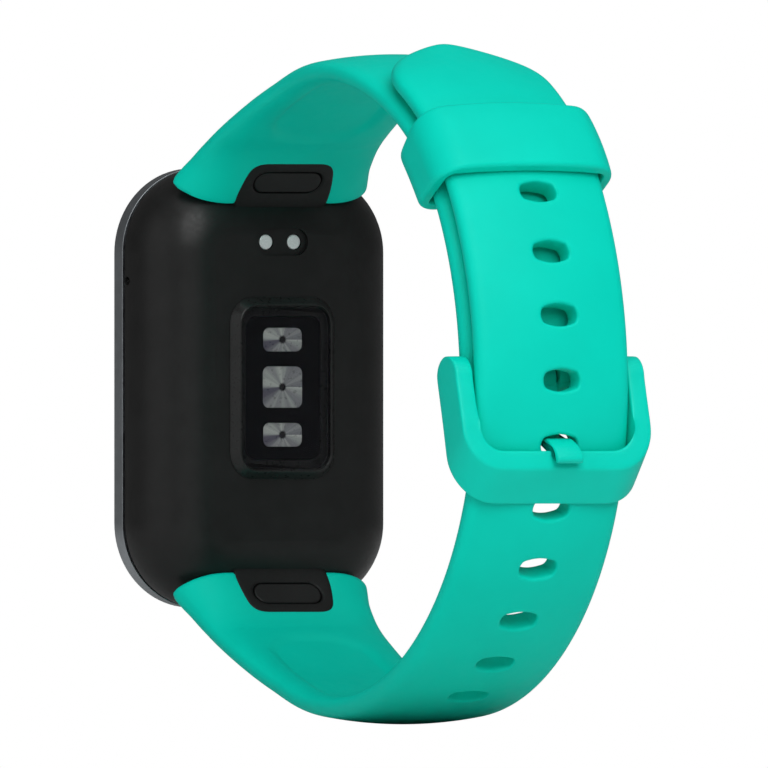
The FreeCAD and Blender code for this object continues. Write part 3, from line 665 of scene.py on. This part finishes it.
def keeper_section():
    """Half-span and wall shares of the band's section: a soft, slightly crowned bar."""
    section = [(t, 0.0) for t in np.linspace(-0.93, 0.93, 8)]
    section += [(0.93 + 0.07 * math.sin(a), 0.12 * (1 - math.cos(a))) for a in np.linspace(0.4, 1.4, 3)]
    section += [(1.0, share) for share in (0.25, 0.4, 0.52)]
    section += [(0.86 + 0.14 * math.cos(a), 0.58 + 0.36 * math.sin(a)) for a in np.linspace(0.15, 1.5, 6)]
    outer = [(t, 1.0 - 0.06 * t * t) for t in np.linspace(0.72, -0.72, 8)]
    mirrored = [(-t, f) for t, f in section[8:][::-1]]
    return section + outer + mirrored


def build_keeper():
    """The loop round both strap layers, bowed across like the band."""
    outer = rounded_loop(KEEPER_HALF_X, KEEPER_INNER + KEEPER_WALL, KEEPER_CORNER)
    inner = rounded_loop(SLOT_HALF_X, KEEPER_INNER, SLOT_CORNER)
    section = keeper_section()
    points = []
    for along, share in section + section[:1]:
        angle = KEEPER_TURN + along * KEEPER_HALF_SPAN
        for x, lift in inner + (outer - inner) * share:
            reach = KEEPER_MIDDLE + lift + CROWN * (1 - (x / KEEPER_HALF_X) ** 2)
            y, z = KEEPER_CENTRE + reach * np.array((math.cos(angle), math.sin(angle)))
            points.append((x, y, z))
    faces = grid_faces(len(section) + 1, len(outer), wrap=True)
    return add_mesh("keeper_skin", points, faces, SILICONE, levels=1)


place(build_keeper(), "keeper", "strap_silicone", "keeper_loop")

# ---------------------------------------------------------------- buckle and tongue

ARM_X, ARM_INNER_X = 10.9, 8.9
RIM_CORNER, WINDOW_CORNER = 4.4, 2.6
RIM_LEVEL, BASE_LEVEL, WINDOW_LEVEL, SEAT_LEVEL = -8.3, -11.9, -6.4, -11.45
ARM_TOP_Y, ARM_TOP_RADIUS = 66.1, 2.25
ARM_TOP_TURNS = [86, 74, 62, 50, 38, 26, 13]
SEAT_CENTRE_Y, SEAT_RADIUS, SEAT_TURN = 35.92, 34.3, 0.6
BUCKLE_EDGE = 0.32


def front_y(z):
    """Y of the buckle's front rim at a height."""
    return float(np.interp(z, [-8.3, -7.1, -3.4, 1.0], [70.55, 70.4, 69.6, 68.35]))


def back_y(z):
    """Y of the arms' back edge at a height."""
    return float(np.interp(z, [-11.9, -7.5, -3.9, 1.0], [68.1, 66.1, 65.2, 63.85]))


def seat_y(z):
    """Y of the face that clears the tail strap."""
    return SEAT_CENTRE_Y + math.sqrt(SEAT_RADIUS ** 2 - z ** 2)


def buckle_section(outer_x, inner_x, rim, base, window, seat, inner_y, middle_y):
    """Five corners: front and back on the outside, then back, middle and front on the inside."""
    return [(outer_x, front_y(rim), rim), (outer_x, back_y(base), base), (inner_x, inner_y, seat),
            (inner_x, middle_y, window), (inner_x, front_y(window), window)]


def buckle_stations():
    """Five section corners at stations from one arm's top to the middle of the crossbar."""
    stations = []
    for turn in np.radians(ARM_TOP_TURNS):
        z = BAR_Z + ARM_TOP_RADIUS * math.sin(turn)
        reach = ARM_TOP_RADIUS * math.cos(turn)
        ahead, behind = ARM_TOP_Y + reach, ARM_TOP_Y - reach
        stations.append([(ARM_X, ahead, z), (ARM_X, behind, z), (ARM_INNER_X, behind, z),
                         (ARM_INNER_X, ARM_TOP_Y, z), (ARM_INNER_X, ahead, z)])
    for share in np.linspace(0, 1, 9):
        rim, base = [BAR_Z + (level + RIM_CORNER - BAR_Z) * share for level in (RIM_LEVEL, BASE_LEVEL)]
        window, seat = [BAR_Z + (level + WINDOW_CORNER - BAR_Z) * share
                        for level in (WINDOW_LEVEL, SEAT_LEVEL)]
        middle = ARM_TOP_Y + (seat_y(window) - ARM_TOP_Y) * share
        stations.append(buckle_section(ARM_X, ARM_INNER_X, rim, base, window, seat, back_y(seat), middle))
    for turn in np.linspace(0, math.pi / 2, 11)[1:]:
        out, down = math.cos(turn), math.sin(turn)
        outer_x = ARM_X - RIM_CORNER * (1 - out)
        inner_x = ARM_INNER_X - WINDOW_CORNER * (1 - out)
        rim, base = [level + RIM_CORNER * (1 - down) for level in (RIM_LEVEL, BASE_LEVEL)]
        window, seat = [level + WINDOW_CORNER * (1 - down) for level in (WINDOW_LEVEL, SEAT_LEVEL)]
        inner_y = back_y(seat) + (seat_y(seat) - back_y(seat)) * ease(turn / SEAT_TURN)
        stations.append(buckle_section(outer_x, inner_x, rim, base, window, seat, inner_y, seat_y(window)))
    ends = stations[-1]
    for share in (0.35, 0.7):
        stations.append([(x * (1 - share), y, z) for x, y, z in ends])
    return stations


def rounded_section(corners, radius, steps=4):
    """A closed section with each corner turned into a short curve."""
    corners = np.array(corners)
    count, points = len(corners), []
    for i in range(count):
        before, here, after = corners[i - 1], corners[i], corners[(i + 1) % count]
        starts = []
        for other in (before, after):
            gap = np.linalg.norm(other - here)
            starts.append(here + (other - here) * (min(radius, 0.42 * gap) / max(gap, 1e-6)))
        for t in np.linspace(0, 1, steps):
            points.append(starts[0] * (1 - t) ** 2 + here * 2 * t * (1 - t) + starts[1] * t ** 2)
    return points


def end_caps(rows, columns):
    """The two end faces of a tube of points stored row by row."""
    return [tuple(range(columns)), tuple(range((rows - 1) * columns, rows * columns))]


def build_buckle():
    """The open frame, mirrored from one half."""
    half = buckle_stations()
    whole = half + [[(-x, y, z) for x, y, z in station] for station in half[::-1]]
    rows = [rounded_section(station, BUCKLE_EDGE) for station in whole]
    columns = len(rows[0])
    faces = grid_faces(len(rows), columns, wrap=True) + end_caps(len(rows), columns)
    return add_mesh("buckle_skin", [point for row in rows for point in row], faces, PLASTIC, levels=1)


TONGUE_SIDE = [
    (66.15, 0.8), (66.0, -4.0), (66.35, -4.85), (67.2, -5.08), (69.3, -5.14), (70.9, -5.95), (71.75, -6.85),
    (71.8, -7.4), (71.4, -7.75), (71.02, -7.4), (70.9, -6.75), (70.3, -6.1), (69.0, -5.75), (66.9, -5.85),
    (65.2, -3.8), (64.9, 0.4),
]
TONGUE_HALF, TONGUE_SHIFT, TONGUE_CORNER, TONGUE_FILLET = 1.5, -0.5, 0.6, 0.22
KNUCKLE_RADIUS, KNUCKLE_PLAY, KNUCKLE_FILLET = 1.28, 0.2, 0.2


def build_tongue():
    """The curved blade, with its long edges rounded."""
    side = np.array(rounded_section(TONGUE_SIDE, TONGUE_CORNER, 5))
    ahead = np.roll(side, -1, axis=0) - np.roll(side, 1, axis=0)
    ways = np.stack([ahead[:, 1], -ahead[:, 0]], axis=1) / np.linalg.norm(ahead, axis=1)[:, None]
    area = np.sum(side[:, 0] * np.roll(side[:, 1], -1) - np.roll(side[:, 0], -1) * side[:, 1])
    inwards = -ways if area > 0 else ways
    turns = np.linspace(0, math.pi / 2, 5)[::-1]
    edge = [(TONGUE_HALF - TONGUE_FILLET * (1 - math.sin(a)), TONGUE_FILLET * (1 - math.cos(a)))
            for a in turns]
    rows = edge + [(-x, inset) for x, inset in edge[::-1]]
    points = []
    for x, inset in rows:
        points += [(x + TONGUE_SHIFT, *point) for point in side + inwards * inset]
    columns = len(side)
    faces = grid_faces(len(rows), columns, wrap=True) + end_caps(len(rows), columns)
    return add_mesh("tongue_skin", points, faces, PLASTIC)


place(build_buckle(), "buckle", "buckle_plastic", "buckle_frame")
place(build_tongue(), "tongue", "buckle_plastic", "buckle_tongue")
knuckle = bar_sleeve("tongue_knuckle", KNUCKLE_PLAY - NOTCH_HALF, TONGUE_SHIFT + TONGUE_HALF,
                     KNUCKLE_RADIUS, KNUCKLE_FILLET, PLASTIC)
place(knuckle, "tongue", "buckle_plastic")

# ---------------------------------------------------------------- tabs of the quick-release latches

TAB_END, TAB_FOOT = 5.1, -1.0
TAB_TOP_HALF, TAB_FOOT_HALF, TAB_SHOULDER, TAB_CORNER = 4.6, 5.35, 2.0, 1.6
TAB_TOP, TAB_DEPTH, TAB_POINTS = 0.1, -1.4, 96
BUTTON_HALF, BUTTON_ROUND, BUTTON_AT = 3.88, 1.35, 2.65


def closed_resample(line, count):
    """A closed outline's points spread evenly, without the repeated last one."""
    return resample([*line, line[0]], count + 1)[:-1]


def build_tab(name, side):
    """The black tab: a plate flush with the strap, flared towards the case, open round its button."""
    outline = rounded_section([
        (TAB_FOOT_HALF, TAB_SHOULDER), (TAB_TOP_HALF, TAB_END), (-TAB_TOP_HALF, TAB_END),
        (-TAB_FOOT_HALF, TAB_SHOULDER), (-TAB_FOOT_HALF, TAB_FOOT), (TAB_FOOT_HALF, TAB_FOOT),
    ], TAB_CORNER, 7)
    straight = BUTTON_HALF - BUTTON_ROUND
    opening = [(straight + BUTTON_ROUND * math.cos(a), BUTTON_AT + BUTTON_ROUND * math.sin(a))
               for a in np.linspace(-math.pi / 2, math.pi / 2, 14)]
    opening += [(-x, 2 * BUTTON_AT - z) for x, z in opening]
    outer, inner = closed_resample(outline, TAB_POINTS), closed_resample(opening, TAB_POINTS)
    outer, inner = [np.roll(loop, -int(np.argmax(loop[:, 0] - 0.3 * abs(loop[:, 1] - BUTTON_AT))), axis=0)
                    for loop in (outer, inner)]
    centre = np.array((0, BUTTON_AT))
    points = []
    rings = [(outer, 1.0, TAB_DEPTH), (outer, 1.0, 0.0), (outer, 0.985, 0.08), (outer, 0.95, TAB_TOP),
             (inner, 1.09, TAB_TOP), (inner, 1.03, 0.08), (inner, 1.0, -0.04), (inner, 1.0, TAB_DEPTH),
             (outer, 1.0, TAB_DEPTH)]
    for loop, scale, out in rings:
        for x, along in centre + (loop - centre) * scale:
            y = TAB_START[0] + along * math.sin(TAB_LEAN) + out * math.cos(TAB_LEAN)
            z = TAB_START[1] + along * math.cos(TAB_LEAN) - out * math.sin(TAB_LEAN)
            points.append((x, y, side * z))
    return add_mesh(f"{name}_tab", points, grid_faces(len(rings), TAB_POINTS, wrap=True), TAB)


for name, side in (("upper", 1), ("lower", -1)):
    place(build_tab(name, side), "band", "case_plastic", f"{name}_connector")

# ---------------------------------------------------------------- rounded hard pieces

BODY_OF = {node: body for body, members in frame["record"]["behaviour"]["bodies"].items() for node in members}
SHARP_ANGLE = 35


def soften(node, slot, material, width):
    """Stands in for a design node with the same shape, its sharp edges rounded by a width in mm."""
    mesh = frame["nodes"][node].data.copy()
    piece = bpy.data.objects.new(f"{node}_skin", mesh)
    bpy.context.scene.collection.objects.link(piece)
    work = bmesh.new()
    work.from_mesh(mesh)
    bmesh.ops.remove_doubles(work, verts=work.verts, dist=1e-6)
    bmesh.ops.dissolve_limit(work, angle_limit=math.radians(0.5), verts=work.verts, edges=work.edges)
    bmesh.ops.recalc_face_normals(work, faces=work.faces)
    work.to_mesh(mesh)
    work.free()
    mesh.materials.clear()
    mesh.materials.append(material)
    mesh.polygons.foreach_set("use_smooth", [True] * len(mesh.polygons))
    bevel = piece.modifiers.new("edges", "BEVEL")
    bevel.width, bevel.segments = width * MM, 3
    bevel.limit_method, bevel.angle_limit = "ANGLE", math.radians(SHARP_ANGLE)
    bevel.use_clamp_overlap = False
    piece.modifiers.new("shading", "WEIGHTED_NORMAL").keep_sharp = True
    return place(piece, BODY_OF[node], slot, node)


soften("sensor_ring", "case_plastic", RING, 0.12)
soften("sensor_glass", "sensor_glass", SENSOR_GLASS, 0.12)
soften("charging_contacts", "contact_plating", PLATING, 0.18)
soften("front_frame", "frame_metal", FRAME_METAL, 0.05)
soften("cover_glass", "cover_glass", COVER, 0.25)
for end in ("upper", "lower"):
    soften(f"{end}_release_button", "case_plastic", BUTTON, 0.2)

for end, side in (("upper", 1), ("lower", -1)):
    leaf = soften(f"{end}_latch_spring", "latch_steel", STEEL, 0.02)
    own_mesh(leaf)

# ---------------------------------------------------------------- design nodes that keep their shape

KEPT = {
    "rear_case": SHELL, "frame_gasket": SEAL, "sensor_mask": MASK, "vent_mesh": MESH, "spring_bar": STEEL,
    "led_board": BOARD, "main_board": BOARD, "led_chips": CHIP, "photodiode_chips": CHIP, "main_chips": CHIP,
    "inner_tray": SHELL, "battery": POUCH, "vibration_motor": STEEL, "case_screws": STEEL, "antenna": COPPER,
    "display_connector": FILM, "display_panel": DISPLAY, "upper_latch_bolt": STEEL, "lower_latch_bolt": STEEL,
}
# the optical windows carry a painted spun reflection in their base colour
for window in ("led_window", "upper_photodiode_window", "lower_photodiode_window"):
    KEPT[window] = lens_with_painted_reflection(window)
for node, material in KEPT.items():
    for material_slot in frame["nodes"][node].material_slots:
        material_slot.material = material

# ---------------------------------------------------------------- camera, light and floor

VIEW_TURN = math.radians(28)
VIEW_WIDTH, AIM_RISE, AIM_SHIFT, CAMERA_DISTANCE = 0.0782, 0.00041, 0.01508, 0.5
LIGHT_AIM, LIGHT_DISTANCE = Vector((0, 0.024, 0)), 0.6
WORLD_LIGHT = 0.13
FLOOR_SIZE, FLOOR_GAP = 3, 0.0002
to_camera = Vector((math.sin(VIEW_TURN), math.cos(VIEW_TURN), 0))
to_right = Vector((-math.cos(VIEW_TURN), math.sin(VIEW_TURN), 0))
aim = Vector((0, -SKIN_LEVEL * MM, AIM_RISE)) + to_right * AIM_SHIFT
camera_data = bpy.data.cameras.new("camera")
camera_data.type = "ORTHO"
camera_data.ortho_scale = VIEW_WIDTH
camera_data.clip_start, camera_data.clip_end = 0.01, 20
camera = bpy.data.objects.new("camera", camera_data)
bpy.context.scene.collection.objects.link(camera)
camera.location = aim + to_camera * CAMERA_DISTANCE
camera.rotation_euler = to_camera.to_track_quat("Z", "Y").to_euler()
bpy.context.scene.camera = camera
bpy.context.scene.view_settings.view_transform = "Standard"


def add_light(name, away, up, width, height, power):
    """A soft box aimed at the band, placed by its turn from the camera and its height angle."""
    data = bpy.data.lights.new(name, "AREA")
    data.shape, data.size, data.size_y, data.energy = "RECTANGLE", width, height, power
    light = bpy.data.objects.new(name, data)
    bpy.context.scene.collection.objects.link(light)
    turn, rise = math.radians(away), math.radians(up)
    way = Matrix.Rotation(turn, 3, "Z") @ to_camera
    way = Vector((way.x * math.cos(rise), way.y * math.cos(rise), math.sin(rise)))
    light.location = LIGHT_AIM + way * LIGHT_DISTANCE
    light.rotation_euler = way.to_track_quat("Z", "Y").to_euler()


add_light("key", 16, 34, 0.5, 0.4, 2.2)
add_light("fill", -50, 20, 0.5, 0.5, 0.5)
add_light("top", 25, 66, 0.6, 0.6, 1.25)

world = bpy.data.worlds.new("studio")
bpy.context.scene.world = world
world.use_nodes = True
shades = world.node_tree.nodes
background = shades["Background"]
background.inputs["Color"].default_value = (1, 1, 1, 1)
background.inputs["Strength"].default_value = WORLD_LIGHT
seen = shades.new("ShaderNodeBackground")
seen.inputs["Color"].default_value = (1, 1, 1, 1)
seen.inputs["Strength"].default_value = 1.0
light_path = shades.new("ShaderNodeLightPath")
mix = shades.new("ShaderNodeMixShader")
world.node_tree.links.new(light_path.outputs["Is Camera Ray"], mix.inputs["Fac"])
world.node_tree.links.new(background.outputs["Background"], mix.inputs[1])
world.node_tree.links.new(seen.outputs["Background"], mix.inputs[2])
world.node_tree.links.new(mix.outputs["Shader"], shades["World Output"].inputs["Surface"])

floor_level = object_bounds()[0][2] - FLOOR_GAP
bpy.ops.mesh.primitive_plane_add(size=FLOOR_SIZE, location=(0, 0, floor_level))
floor = bpy.context.object
floor.name = "floor"
floor.data.materials.append(new_material("floor_paint", (0.86, 0.86, 0.86), 0.6))
